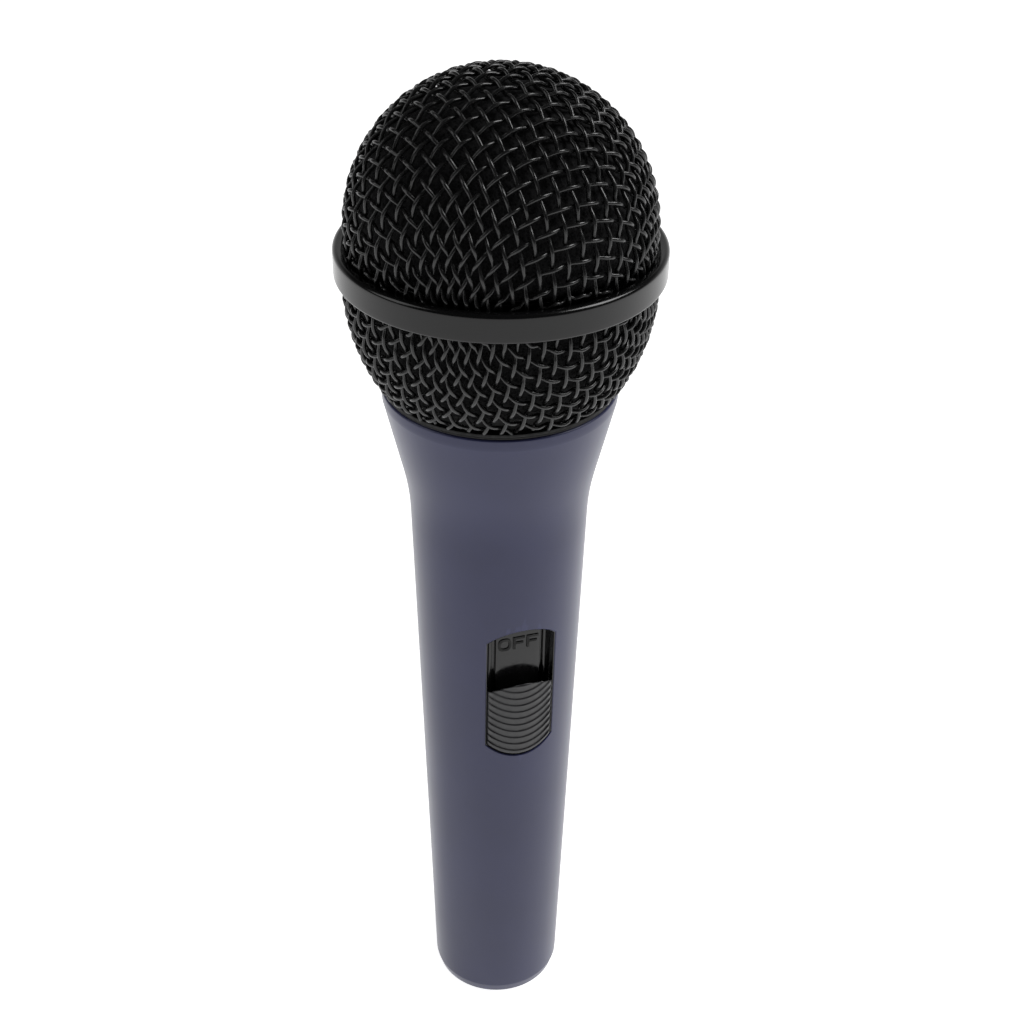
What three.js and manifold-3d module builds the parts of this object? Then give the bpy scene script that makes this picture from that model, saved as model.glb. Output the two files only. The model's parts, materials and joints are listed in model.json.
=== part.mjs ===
// A handheld dynamic vocal microphone, standing on its tail: a tapering metal handle with a thumb
// switch, a moving-coil capsule on a rubber mount, and a woven grille that unscrews.
// Millimetres. The origin is the centre of the tail face, +Z runs up the axis to the top of the
// grille, and the thumb switch faces -Y. Sections are [radius, height] points.
import * as THREE from "three";
import { mergeVertices } from "three/addons/utils/BufferGeometryUtils.js";
import Module from "manifold-3d";

const wasm = await Module();
wasm.setup();

// ---- Driving dimensions ----
const TOP_Z = 180; // overall length
const FIT = 0.15; // between pieces that sit in one another
const GAP = 0.3; // between pieces that move past one another
const ROUND = 36; // sides of the large turned pieces
const FINE = 24; // sides of the capsule's pieces
const SMALL = 10; // sides of screws and pins
const WIRE_SIDES = 6;

const HANDLE = {
  footR: 11.2, // flat ring it stands on
  chamferR: 11.75,
  chamferZ: 1.85,
  taperR: 11.64, // the tapering tube's radius where it would meet the tail face
  taper: 0.0298, // growth of the radius per millimetre of height
  wall: 1.7,
  flareStart: 105.4,
  flareBend: [14.907, 109.64],
  flareEnd: [15.9, 113.87],
  shoulder: [18.87, 126.5],
  rimR: 19,
  rimZ: 128.7,
  rimBevel: 0.2,
};
const SOCKET = {
  radius: 8.1, // bore that takes the cable connector's nose
  mouthBevel: 0.4,
  insertZ: 15.5, // outer face of the insert, at the end of the socket
  insertTop: 22,
  ledgeZ: 22.2,
  latchZ: [4, 7], // recess that the cable connector's latch drops into
  latchWidth: 5,
  latchDepth: 0.9,
  pinCircle: 4.75,
  pinR: 1.2,
  pinTipZ: 4.5,
  pinTopZ: 26,
  cupR: 0.8,
  cupZ: 23,
  screwZ: 18.75,
  screwR: 1,
};
const SEAT = {
  tubeR: 12.9, // bore below the rubber mount
  tubeZ: 108.5,
  mountZ: 113, // ledge that the rubber mount stands on
  mountR: 14.3,
  ringZ: 118.6, // ledge that the retaining ring stands on
  ringR: 15.4,
  ringTop: 121.5,
  threadR: 17.2, // female thread for the grille, as a plain bore
  threadZ: 123.6,
};
const SWITCH = {
  centreZ: 75.25,
  halfWidth: 6.05,
  halfLength: 11.15, // to the corners, where the curved ends begin
  endR: 8.4,
  panelHalf: 3.95, // raised strip between the two slide grooves
  panelDepth: 3,
  grooveDepth: 3.8,
  flangeDepth: 4.8,
  trayDepth: 6,
  flangeHalf: 6.8,
  flangeLength: 16,
  bossR: 1.3,
  bossZ: 13.4,
  bossDepth: 7.9,
  slideGap: 0.25, // between the slider and the panel and grooves it runs on
  proud: 0.3, // height of the slider above the handle's surface
  sliderTop: 0.8, // sides of the slider's upper edge
  sliderBow: 1.55, // rise of the upper edge between its sides
  legZ: [-10.4, 0.4],
  ribs: 9,
  ribPitch: 1.6,
  ribStart: -10.3,
  ribGroove: 0.55,
  ribDepth: 0.4,
  ribBow: 2.3,
  magnetR: 1.9,
  magnetZ: -5.3,
  magnetThick: 0.7,
  ballR: 0.6, // sprung ball that clicks into the ends of its track
  ballZ: -9.4,
  trackHalf: 0.7,
  trackDepth: 0.4,
  trackZ: [-10.4, 1.9],
};
const BOARD = {
  depth: 8,
  thick: 1.2,
  halfWidth: 5.2,
  halfLength: 15.5,
  screwR: 0.55,
  headR: 1.2,
  reedR: 0.85, // glass of the magnetic reed switch
  reedDepth: 7,
  reedHalf: 6,
  leadR: 0.25,
  leadHalf: 8,
  canR: 1.9, // capacitor
  canZ: 4,
  canLength: 3.9,
};
const DOME = { radius: 24.2, centreZ: TOP_Z - 24.2, startZ: 151, thick: 1.2 };
const BASKET = {
  radius: 24.7,
  centreZ: 147.5,
  halfHeight: 28.7,
  startZ: 129.75,
  endZ: 150,
  thick: 1.2,
};
const BAND = {
  outer: 25.77,
  inner: 24.85, // round the lower mesh
  lipR: 24.35, // round the upper mesh
  startZ: 148.45,
  endZ: 153.06,
  bevel: 0.35, // lower edge
  shoulder: 0.6, // rounded upper edge
  ribR: 22.5, // inner rib that parts the two meshes
  ribZ: [150.15, 150.85],
};
const CLAMP = { inner: 21.2, outer: 22.2, z: [148.6, 153] };
const FOAM = { thick: 1.6, gap: 0.28, domeZ: 153.4, basketZ: [132.2, 148.3] };
const COLLAR = {
  inner: 15.6,
  thread: 17,
  flange: 18.85,
  startZ: 124,
  flangeZ: 129.1,
  lipZ: 129.65,
  lipR: 17.55,
  endZ: 131.9,
};
const CAPSULE = {
  headR: 14.2,
  boreR: 12.8,
  motorR: 12.4,
  topZ: 152.2,
  shoulderZ: [135.6, 139.2],
  neckR: 10.6,
  neckBoreR: 9.3,
  neckZ: 133,
  chamberZ: 110,
  capZ: 152.3,
  clothR: 11.3,
  clothZ: [152.9, 153.2],
  feltR: 12.2,
  feltZ: [140.2, 140.8],
  portR: 1.1, // openings behind the film, round the shoulder
  holeR: 1.2, // openings in front of it, in the cap
  boardR: 8.5, // terminal board
  terminalX: 3,
  terminalZ: 104.6,
};
const MOTOR = {
  cupZ: [141, 147.2],
  cupFloor: 142.6,
  cupBoreR: 11.3,
  ventR: 0.9,
  ventCircle: 9.3,
  magnetR: 7.2,
  magnetZ: [142.7, 146.6],
  poleR: 7.9,
  poleZ: [146.7, 148.7],
  plateBoreR: 9.1,
  plateZ: [147.3, 148.7],
  coilR: [8.2, 8.75],
  coilZ: [145.8, 149.4],
  filmRingR: [11.4, 12.6],
  filmRingZ: [150.6, 151.8],
  filmThick: 0.25,
  // Underside of the film from its centre outwards: a dome, the coil's seat and a corrugation.
  film: [[0, 151.4], [3.5, 151.2], [6.4, 150.55], [8.5, 149.45], [10.4, 150.05], [12.2, 149.5]],
};
const MOUNT = {
  baseZ: 112.5,
  sleeveR: 11.7,
  webR: 13.2,
  webZ: [115, 116.3],
  topZ: 121,
  ringBoreR: 12.8,
  ringTop: 120.6,
};
const LEAD = {
  radius: 0.5,
  fromCapsule: [[3, 0.8, 105.4], [3.2, 2.4, 101], [3.6, 1.4, 95], [3.4, -2.6, 90], [3.2, -4.2, 86.5]],
  toSidePin: [[3.4, -3.4, 64], [4.4, -1, 58], [5.2, 1.5, 48], [5, 1, 36], [4.75, 0, 26.6]],
  toMiddlePin: [[0, -3.4, 66], [0.4, -0.6, 58], [0.2, -1.5, 46], [0, -3.6, 35], [0, -4.75, 26.6]],
};
const TAU = 2 * Math.PI;

// ---- Shape helpers ----
function toSolid(geometry) {
  const bare = geometry.clone();
  bare.deleteAttribute("normal");
  bare.deleteAttribute("uv");
  const merged = mergeVertices(bare, 1e-4);
  const triVerts = new Uint32Array(merged.index.array);
  const vertProperties = merged.attributes.position.array;
  const solid = new wasm.Manifold(new wasm.Mesh({ numProp: 3, vertProperties, triVerts }));
  if (solid.volume() >= 0) return solid;
  const turned = triVerts.reverse();
  return new wasm.Manifold(new wasm.Mesh({ numProp: 3, vertProperties, triVerts: turned }));
}

function toGeometry(solid) {
  const mesh = solid.getMesh();
  const places = new Float32Array(mesh.numVert * 3);
  for (let i = 0; i < mesh.numVert; i++) {
    const start = i * mesh.numProp;
    places.set(mesh.vertProperties.subarray(start, start + 3), i * 3);
  }
  const geometry = new THREE.BufferGeometry();
  geometry.setAttribute("position", new THREE.BufferAttribute(places, 3));
  geometry.setIndex(new THREE.BufferAttribute(new Uint32Array(mesh.triVerts), 1));
  geometry.computeVertexNormals();
  return geometry;
}

const cut = (geometry, ...tools) =>
  toGeometry(tools.reduce((left, tool) => left.subtract(toSolid(tool)), toSolid(geometry)));
const join = (geometry, ...others) =>
  toGeometry(others.reduce((whole, other) => whole.add(toSolid(other)), toSolid(geometry)));
const overlapOf = (one, other) => toGeometry(toSolid(one).intersect(toSolid(other)));

// Turns a closed section of [radius, height] points about the Z axis.
function turned(section, sides = ROUND) {
  const points = section.map(([radius, height]) => new THREE.Vector2(radius, height));
  const onAxis = points[0].x === 0 && points.at(-1).x === 0;
  if (!onAxis) points.push(points[0].clone());
  if (THREE.ShapeUtils.area(points) < 0) points.reverse();
  return new THREE.LatheGeometry(points, sides).rotateX(Math.PI / 2);
}

const ring = (inner, outer, low, high, sides = ROUND) =>
  turned([[inner, low], [outer, low], [outer, high], [inner, high]], sides);
const disc = (radius, low, high, sides = FINE) =>
  turned([[0, low], [radius, low], [radius, high], [0, high]], sides);

// A straight round rod between two points.
function rod(radius, from, to, sides = SMALL) {
  const start = new THREE.Vector3(...from);
  const along = new THREE.Vector3(...to).sub(start);
  const geometry = new THREE.CylinderGeometry(radius, radius, along.length(), sides);
  const up = new THREE.Vector3(0, 1, 0);
  const turn = new THREE.Quaternion().setFromUnitVectors(up, along.clone().normalize());
  const middle = start.addScaledVector(along, 0.5);
  return geometry.applyQuaternion(turn).translate(middle.x, middle.y, middle.z);
}

function block([x0, x1], [y0, y1], [z0, z1]) {
  const geometry = new THREE.BoxGeometry(x1 - x0, y1 - y0, z1 - z0);
  return geometry.translate((x0 + x1) / 2, (y0 + y1) / 2, (z0 + z1) / 2);
}

// Extrudes an outline in the XZ plane along Y, from y0 to y1.
function plate(outline, y0, y1, steps = 6) {
  const settings = { depth: y1 - y0, bevelEnabled: false, curveSegments: steps };
  return new THREE.ExtrudeGeometry(outline, settings).rotateX(Math.PI / 2).translate(0, y1, 0);
}

// A round insulated wire through the given points.
function wire(radius, points, steps = 10) {
  const section = new THREE.Shape();
  section.absarc(0, 0, radius, 0, TAU);
  const places = points.map((point) => new THREE.Vector3(...point));
  const extrudePath = new THREE.CatmullRomCurve3(places);
  const settings = { steps, extrudePath, curveSegments: WIRE_SIDES / 2, bevelEnabled: false };
  return new THREE.ExtrudeGeometry(section, settings);
}

const mirrored = (points) => points.map(([x, y, z]) => [-x, y, z]);
const bothSides = (make) => [-1, 1].map(make);
const around = (count, radius, start = 0) =>
  Array.from({ length: count }, (_, i) => {
    const angle = start + (i * TAU) / count;
    return [radius * Math.cos(angle), radius * Math.sin(angle)];
  });

const finish = (color, roughness, metalness = 0) =>
  new THREE.MeshStandardMaterial({ color, roughness, metalness });

const model = new THREE.Group();
function add(name, geometry, material, parent = model) {
  const mesh = new THREE.Mesh(toGeometry(toSolid(geometry)), material);
  mesh.name = name;
  parent.add(mesh);
}

// ---- Finishes ----
const PAINT = { color: 0x4f5062, roughness: 0.42 };
const painted = () => finish(PAINT.color, PAINT.roughness);
const blackSteel = () => finish(0x161617, 0.38, 0.6);
const blackPlastic = () => finish(0x1c1c1e, 0.45);
const plainSteel = () => finish(0x9a9c9e, 0.35, 1);
const silvered = () => finish(0xc9c9c6, 0.25, 1);
const aluminium = () => finish(0xb9bbbd, 0.4, 1);
const foamBlack = () => finish(0x0c0c0d, 0.95);
const rubberBlack = () => finish(0x17171a, 0.8);
const feltGrey = () => finish(0x4a4a4a, 0.95);

// ---- Handle ----
const taperRadius = (z) => HANDLE.taperR + HANDLE.taper * z;

// The switch is laid out in a frame of its own: its origin is on the handle's surface at the middle
// of the slot, Z runs up along the tapering surface and Y is the depth into the handle.
const switchFrame = new THREE.Group();
switchFrame.position.set(0, -taperRadius(SWITCH.centreZ), SWITCH.centreZ);
switchFrame.rotation.x = Math.atan(HANDLE.taper);
switchFrame.updateMatrix();
model.add(switchFrame);
const surfaceR = taperRadius(SWITCH.centreZ);

// A straight-sided outline with arched ends, shrunk by a clearance all round.
function slotOutline(clearance) {
  const half = SWITCH.halfWidth - clearance;
  const radius = SWITCH.endR - clearance;
  const rise = Math.sqrt(SWITCH.endR ** 2 - SWITCH.halfWidth ** 2);
  const centre = SWITCH.halfLength - rise;
  const spread = Math.asin(half / radius);
  const outline = new THREE.Shape();
  outline.absarc(0, centre, radius, Math.PI / 2 - spread, Math.PI / 2 + spread, false);
  outline.absarc(0, -centre, radius, 1.5 * Math.PI - spread, 1.5 * Math.PI + spread, false);
  outline.closePath();
  return outline;
}

function handleSection() {
  const path = new THREE.Path();
  path.moveTo(SOCKET.radius + SOCKET.mouthBevel, 0);
  path.lineTo(HANDLE.footR, 0);
  path.lineTo(HANDLE.chamferR, HANDLE.chamferZ);
  path.lineTo(taperRadius(HANDLE.flareStart), HANDLE.flareStart);
  path.quadraticCurveTo(...HANDLE.flareBend, ...HANDLE.flareEnd);
  path.lineTo(...HANDLE.shoulder);
  const [, shoulderZ] = HANDLE.shoulder;
  path.quadraticCurveTo(HANDLE.rimR, shoulderZ + 2 * HANDLE.rimBevel, HANDLE.rimR, HANDLE.rimZ - 1);
  path.lineTo(HANDLE.rimR, HANDLE.rimZ - HANDLE.rimBevel);
  path.lineTo(HANDLE.rimR - HANDLE.rimBevel, HANDLE.rimZ);
  path.lineTo(SEAT.threadR, HANDLE.rimZ);
  path.lineTo(SEAT.threadR, SEAT.threadZ);
  path.lineTo(SEAT.ringR, SEAT.ringTop);
  path.lineTo(SEAT.ringR, SEAT.ringZ);
  path.lineTo(SEAT.mountR, SEAT.ringZ);
  path.lineTo(SEAT.mountR, SEAT.mountZ);
  path.lineTo(SEAT.tubeR, SEAT.mountZ);
  path.lineTo(SEAT.tubeR, SEAT.tubeZ);
  path.lineTo(taperRadius(SOCKET.ledgeZ) - HANDLE.wall, SOCKET.ledgeZ);
  path.lineTo(SOCKET.radius, SOCKET.ledgeZ);
  path.lineTo(SOCKET.radius, SOCKET.mouthBevel);
  return path.getPoints(4).map((point) => [point.x, point.y]);
}

function makeHandle() {
  const slot = plate(slotOutline(0), -4, SWITCH.flangeDepth + 2).applyMatrix4(switchFrame.matrix);
  const half = SOCKET.latchWidth / 2;
  const latch = block([-half, half], [SOCKET.radius - 1, SOCKET.radius + SOCKET.latchDepth], SOCKET.latchZ);
  const z = SOCKET.screwZ;
  const screwHole = rod(SOCKET.screwR + FIT, [0, SOCKET.radius - 1, z], [0, HANDLE.chamferR + 2, z]);
  add("handle_body", cut(turned(handleSection()), slot, latch, screwHole), painted());
}

// ---- Cable socket ----
const pinPlaces = [
  [-SOCKET.pinCircle, 0],
  [SOCKET.pinCircle, 0],
  [0, -SOCKET.pinCircle],
];

function makeSocket() {
  const insertR = SOCKET.radius - FIT;
  const below = SOCKET.insertZ - 1;
  const above = SOCKET.insertTop + 1;
  const pinHoles = pinPlaces.map(([x, y]) => rod(SOCKET.pinR + FIT, [x, y, below], [x, y, above]));
  const screwHole = rod(SOCKET.screwR + FIT, [0, 4, SOCKET.screwZ], [0, SOCKET.radius + 1, SOCKET.screwZ]);
  const keyway = block([-1.5, 1.5], [insertR - 0.8, insertR + 1], [below, SOCKET.insertZ + 1.4]);
  const insert = turned([
    [0, SOCKET.insertZ], [insertR - 0.4, SOCKET.insertZ], [insertR, SOCKET.insertZ + 0.4],
    [insertR, SOCKET.insertTop], [0, SOCKET.insertTop],
  ]);
  add("connector_insert", cut(insert, ...pinHoles, screwHole, keyway), blackPlastic());

  pinPlaces.forEach(([x, y], index) => {
    const r = SOCKET.pinR;
    const tip = SOCKET.pinTipZ;
    const pin = turned([
      [0, tip], [r * 0.55, tip + 0.15], [r * 0.9, tip + 0.6], [r, tip + 1.1],
      [r, SOCKET.pinTopZ], [SOCKET.cupR, SOCKET.pinTopZ], [SOCKET.cupR, SOCKET.cupZ], [0, SOCKET.cupZ],
    ], SMALL);
    add(`connector_pin_${index + 1}`, pin.translate(x, y, 0), silvered());
  });

  const screw = rod(SOCKET.screwR, [0, 4.4, SOCKET.screwZ], [0, 10.4, SOCKET.screwZ]);
  const driverSlot = block([-0.7, 0.7], [9.6, 11], [SOCKET.screwZ - 0.2, SOCKET.screwZ + 0.2]);
  add("insert_screw", cut(screw, driverSlot), plainSteel());

  const flat = block([-9.6, -6.2], [-1.4, 1.4], [SOCKET.ledgeZ + 0.1, SOCKET.ledgeZ + 0.5]);
  const upright = block([-9.6, -9.2], [-1.4, 1.4], [SOCKET.ledgeZ + 0.1, SOCKET.ledgeZ + 5]);
  add("ground_contact", join(flat, upright), finish(0xb08d3c, 0.35, 1));
}

// ---- Thumb switch ----
// The cylinder of a given radius about the handle's axis, in the switch's frame.
const aboutAxis = (radius) => rod(radius, [0, surfaceR, -30], [0, surfaceR, 30], 48);

function makeTray() {
  const S = SWITCH;
  const plug = plate(slotOutline(FIT), S.panelDepth, S.flangeDepth + 0.5);
  const flangeX = [-S.flangeHalf, S.flangeHalf];
  const flange = block(flangeX, [S.flangeDepth, S.trayDepth], [-S.flangeLength, S.flangeLength]);
  const bosses = bothSides((side) => {
    const z = side * S.bossZ;
    return rod(S.bossR, [0, S.trayDepth - 0.5, z], [0, S.bossDepth, z]);
  });
  const screwHoles = bothSides((side) => {
    const z = side * S.bossZ;
    return rod(BOARD.screwR + 0.1, [0, S.trayDepth + 0.4, z], [0, S.bossDepth + 1, z]);
  });
  const grooves = bothSides((side) => {
    const edges = [side * S.panelHalf, side * (S.halfWidth + 1)].sort((a, b) => a - b);
    return block(edges, [0, S.grooveDepth], [-20, 20]);
  });
  const track = block([-S.trackHalf, S.trackHalf], [0, S.panelDepth + S.trackDepth], S.trackZ);
  const body = join(plug, flange, ...bosses);
  add("switch_tray", cut(body, ...grooves, track, ...screwHoles), blackPlastic(), switchFrame);
}

// An outline between two parallel arcs that bow downwards, across the whole slider.
function ribOutline(z) {
  const half = SWITCH.halfWidth + 1;
  const outline = new THREE.Shape();
  outline.moveTo(-half, z);
  outline.quadraticCurveTo(0, z - 2 * SWITCH.ribBow, half, z);
  outline.lineTo(half, z + SWITCH.ribGroove);
  outline.quadraticCurveTo(0, z + SWITCH.ribGroove - 2 * SWITCH.ribBow, -half, z + SWITCH.ribGroove);
  outline.closePath();
  return outline;
}

function makeSlider() {
  const S = SWITCH;
  const half = S.halfWidth - GAP;
  const underside = S.panelDepth - S.slideGap;
  const radius = S.endR - GAP;
  const spread = Math.asin(half / radius);
  const centre = S.halfLength - Math.sqrt(S.endR ** 2 - S.halfWidth ** 2);
  const outline = new THREE.Shape();
  outline.absarc(0, -centre, radius, 1.5 * Math.PI - spread, 1.5 * Math.PI + spread, false);
  outline.lineTo(half, S.sliderTop);
  outline.quadraticCurveTo(0, S.sliderTop + 2 * S.sliderBow, -half, S.sliderTop);
  outline.closePath();
  const cap = overlapOf(plate(outline, -2, underside), aboutAxis(surfaceR + S.proud));
  const legs = bothSides((side) => {
    const edges = [side * (S.panelHalf + S.slideGap), side * half].sort((a, b) => a - b);
    return block(edges, [underside - 0.5, S.grooveDepth - S.slideGap], S.legZ);
  });
  const innerR = surfaceR + S.proud - S.ribDepth;
  const ribCuts = Array.from({ length: S.ribs }, (_, i) => {
    const outline = ribOutline(S.ribStart + i * S.ribPitch);
    return cut(plate(outline, -3, 3, 4), aboutAxis(innerR));
  });
  const inner = underside - S.magnetThick - 0.15;
  const magnetPocket = rod(S.magnetR + FIT, [0, inner - FIT, S.magnetZ], [0, 5, S.magnetZ], 20);
  const ballPocket = rod(S.ballR + FIT, [0, underside - 1.15, S.ballZ], [0, 5, S.ballZ]);
  const slider = cut(join(cap, ...legs), ...ribCuts, magnetPocket, ballPocket);
  add("switch_slider", slider, blackPlastic(), switchFrame);
  const magnet = rod(S.magnetR, [0, inner, S.magnetZ], [0, inner + S.magnetThick, S.magnetZ], 20);
  add("slider_magnet", magnet, silvered(), switchFrame);
  const ball = new THREE.SphereGeometry(S.ballR, 8, 6).translate(0, underside - 0.1, S.ballZ);
  add("detent_ball", ball, plainSteel(), switchFrame);
  const coil = rod(0.55, [0, underside - 1.1, S.ballZ], [0, underside - 0.75, S.ballZ]);
  const spring = cut(coil, rod(0.3, [0, 0, S.ballZ], [0, 4, S.ballZ]));
  add("detent_spring", spring, plainSteel(), switchFrame);
}

function makeBoard() {
  const B = BOARD;
  const back = B.depth + B.thick;
  const slab = block([-B.halfWidth, B.halfWidth], [B.depth, back], [-B.halfLength, B.halfLength]);
  const holes = bothSides((side) => {
    const z = side * SWITCH.bossZ;
    return rod(B.screwR + 0.2, [0, B.depth - 1, z], [0, back + 1, z]);
  });
  add("circuit_board", cut(slab, ...holes), finish(0x1f5a3a, 0.4), switchFrame);

  [["top", 1], ["bottom", -1]].forEach(([place, side]) => {
    const z = side * SWITCH.bossZ;
    const shank = rod(B.screwR, [0, SWITCH.trayDepth + 0.7, z], [0, back + 0.3, z]);
    const head = rod(B.headR, [0, back + 0.1, z], [0, back + 0.9, z]);
    const driverSlot = block([-1, 1], [back + 0.6, back + 2], [z - 0.18, z + 0.18]);
    add(`board_screw_${place}`, cut(join(shank, head), driverSlot), plainSteel(), switchFrame);
  });

  const glass = rod(B.reedR, [0, B.reedDepth, -B.reedHalf], [0, B.reedDepth, B.reedHalf], 16);
  const lead = rod(B.leadR, [0, B.reedDepth, -B.leadHalf], [0, B.reedDepth, B.leadHalf], 8);
  const feet = bothSides((side) => {
    const z = side * B.leadHalf;
    return rod(B.leadR, [0, B.reedDepth - 0.1, z], [0, B.depth - 0.05, z], 8);
  });
  add("reed_switch", join(glass, lead, ...feet), finish(0x9fc2a8, 0.1), switchFrame);
  const can = rod(B.canR, [0, back + 0.1, B.canZ], [0, back + 0.1 + B.canLength, B.canZ], 16);
  add("capacitor", can, finish(0x23252b, 0.35), switchFrame);
}

// ---- Capsule ----
function makeMotor() {
  const M = MOTOR;
  const outer = CAPSULE.motorR;
  const [floor, rim] = M.cupZ;
  const cup = turned([
    [0, floor], [outer, floor], [outer, rim], [M.cupBoreR, rim], [M.cupBoreR, M.cupFloor], [0, M.cupFloor],
  ], FINE);
  const vents = around(6, M.ventCircle).map(([x, y]) =>
    rod(M.ventR, [x, y, floor - 1], [x, y, M.cupFloor + 1], 8));
  add("magnet_cup", cut(cup, ...vents), plainSteel());
  add("magnet", disc(M.magnetR, ...M.magnetZ), silvered());
  add("pole_piece", disc(M.poleR, ...M.poleZ), plainSteel());
  add("front_plate", ring(M.plateBoreR, outer, ...M.plateZ, FINE), plainSteel());
  add("voice_coil", ring(...M.coilR, ...M.coilZ, FINE), finish(0xb5652c, 0.35, 1));
  add("diaphragm_ring", ring(...M.filmRingR, ...M.filmRingZ, FINE), aluminium());
  const over = M.film.map(([r, z]) => [r, z + M.filmThick]).reverse();
  add("diaphragm", turned([...M.film, ...over], FINE), finish(0xd8d2b8, 0.2));
}

function makeCapsule() {
  const C = CAPSULE;
  const [low, high] = C.shoulderZ;
  const shell = turned([
    [C.neckR, C.neckZ], [C.neckR, low], [C.headR, high], [C.headR, C.topZ],
    [C.boreR, C.topZ], [C.boreR, high + 0.7], [C.neckBoreR, low + 1], [C.neckBoreR, C.neckZ],
  ], FINE);
  const ports = around(8, C.headR, TAU / 16).map(([x, y]) =>
    rod(C.portR, [0.6 * x, 0.6 * y, high - 0.4], [1.2 * x, 1.2 * y, high - 3.2], 6));
  add("capsule_housing", cut(shell, ...ports), blackPlastic());

  const cap = turned([
    [0, C.capZ + 1.4], [0, C.capZ + 2.6], [C.headR - 1.6, C.capZ + 2.3], [C.headR, C.capZ + 0.9],
    [C.headR, C.capZ], [C.headR - 2, C.capZ], [C.headR - 2.4, C.capZ + 1.1],
  ].reverse(), FINE);
  const places = [[0, 0], ...around(6, 5.6), ...around(8, 9.2, TAU / 16)];
  const holes = places.map(([x, y]) => rod(C.holeR, [x, y, C.capZ - 2], [x, y, C.capZ + 6], 6));
  add("capsule_cap", cut(cap, ...holes), blackPlastic());
  add("cap_cloth", disc(C.clothR, ...C.clothZ), feltGrey());
  makeMotor();
  add("rear_felt", disc(C.feltR, ...C.feltZ), feltGrey());

  const base = C.chamberZ;
  const chamber = turned([
    [0, base], [10, base], [C.neckR, base + 2], [C.neckR, C.neckZ - 0.2], [9.1, C.neckZ - 0.2],
    [9.1, C.neckZ + 2.4], [7.9, C.neckZ + 2.4], [7.9, base + 1.6], [0, base + 1.6],
  ], FINE);
  add("rear_chamber", chamber, blackPlastic());
  add("terminal_board", disc(C.boardR, base - 1.6, base - 0.2), finish(0x6b4a24, 0.5));
  [["plus", C.terminalX], ["minus", -C.terminalX]].forEach(([sign, x]) => {
    const blade = block([x - 0.8, x + 0.8], [-0.2, 0.2], [C.terminalZ, base - 1.7]);
    add(`terminal_${sign}`, blade, silvered());
  });
}

function makeMount() {
  const M = MOUNT;
  const inner = CAPSULE.neckR + FIT;
  const outer = SEAT.mountR - FIT;
  const [webLow, webHigh] = M.webZ;
  const foot = SEAT.mountZ + 0.1;
  const head = SEAT.ringZ - 0.2;
  const rubber = turned([
    [inner, M.baseZ], [M.sleeveR, M.baseZ], [M.sleeveR, webLow], [M.webR, webLow], [M.webR, foot],
    [outer, foot], [outer, head], [M.webR, head], [M.webR, webHigh],
    [M.sleeveR, webHigh], [M.sleeveR, M.topZ], [inner, M.topZ],
  ], FINE);
  add("shock_mount", rubber, rubberBlack());
  const lockRing = ring(M.ringBoreR, SEAT.ringR - FIT, SEAT.ringZ + 0.1, M.ringTop);
  add("mount_ring", lockRing, aluminium());
}

// ---- Grille ----
const basketRadius = (z) => BASKET.radius * Math.sqrt(1 - ((z - BASKET.centreZ) / BASKET.halfHeight) ** 2);

// A shell of the given thickness between two heights of an outer surface of revolution.
function shellSection(outerRadius, thick, low, high, steps) {
  const heights = Array.from({ length: steps + 1 }, (_, i) => low + ((high - low) * i) / steps);
  const outer = heights.map((z) => [outerRadius(z), z]);
  const inner = heights.map((z) => [outerRadius(z) - thick, z]).reverse();
  return [...outer, ...inner];
}

// A spherical shell from the top down to a height.
function domeSection(radius, thick, low, steps) {
  const arc = (r) => {
    const last = Math.acos((low - DOME.centreZ) / r);
    return Array.from({ length: steps + 1 }, (_, i) => {
      const angle = (last * i) / steps;
      return [r * Math.sin(angle), DOME.centreZ + r * Math.cos(angle)];
    });
  };
  return [...arc(radius), ...arc(radius - thick).reverse()];
}

function makeGrille() {
  const D = DOME;
  add("upper_mesh", turned(domeSection(D.radius, D.thick, D.startZ, 10)), blackSteel());
  const basket = shellSection(basketRadius, BASKET.thick, BASKET.startZ, BASKET.endZ, 5);
  add("lower_mesh", turned(basket), blackSteel());

  const B = BAND;
  const [ribLow, ribHigh] = B.ribZ;
  add("grille_band", turned([
    [B.inner, B.startZ], [B.outer - B.bevel, B.startZ], [B.outer, B.startZ + B.bevel],
    [B.outer, B.endZ - B.shoulder], [B.outer - 0.3 * B.shoulder, B.endZ - 0.3 * B.shoulder],
    [B.outer - B.shoulder, B.endZ], [B.lipR, B.endZ - 0.12],
    [B.lipR, ribHigh], [B.ribR, ribHigh], [B.ribR, ribLow], [B.inner, ribLow],
  ]), blackSteel());
  add("clamp_ring", ring(CLAMP.inner, CLAMP.outer, ...CLAMP.z), finish(0x141415, 0.35, 1));

  const foamR = D.radius - D.thick - FOAM.gap;
  add("upper_foam", turned(domeSection(foamR, FOAM.thick, FOAM.domeZ, 7), FINE), foamBlack());
  const liner = (z) => basketRadius(z) - BASKET.thick - FOAM.gap;
  const lowerFoam = shellSection(liner, FOAM.thick, ...FOAM.basketZ, 4);
  add("lower_foam", turned(lowerFoam, FINE), foamBlack());

  const K = COLLAR;
  add("grille_collar", turned([
    [K.inner, K.startZ], [K.thread, K.startZ], [K.thread, K.flangeZ], [K.flange, K.flangeZ],
    [K.flange, K.lipZ], [K.lipR, K.lipZ], [K.lipR, K.endZ], [K.inner, K.endZ],
  ]), blackSteel());
  const gasketZ = [HANDLE.rimZ + 0.05, K.flangeZ - 0.05];
  add("collar_gasket", ring(SEAT.threadR + 0.05, K.flange - 0.1, ...gasketZ), rubberBlack());
}

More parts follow.
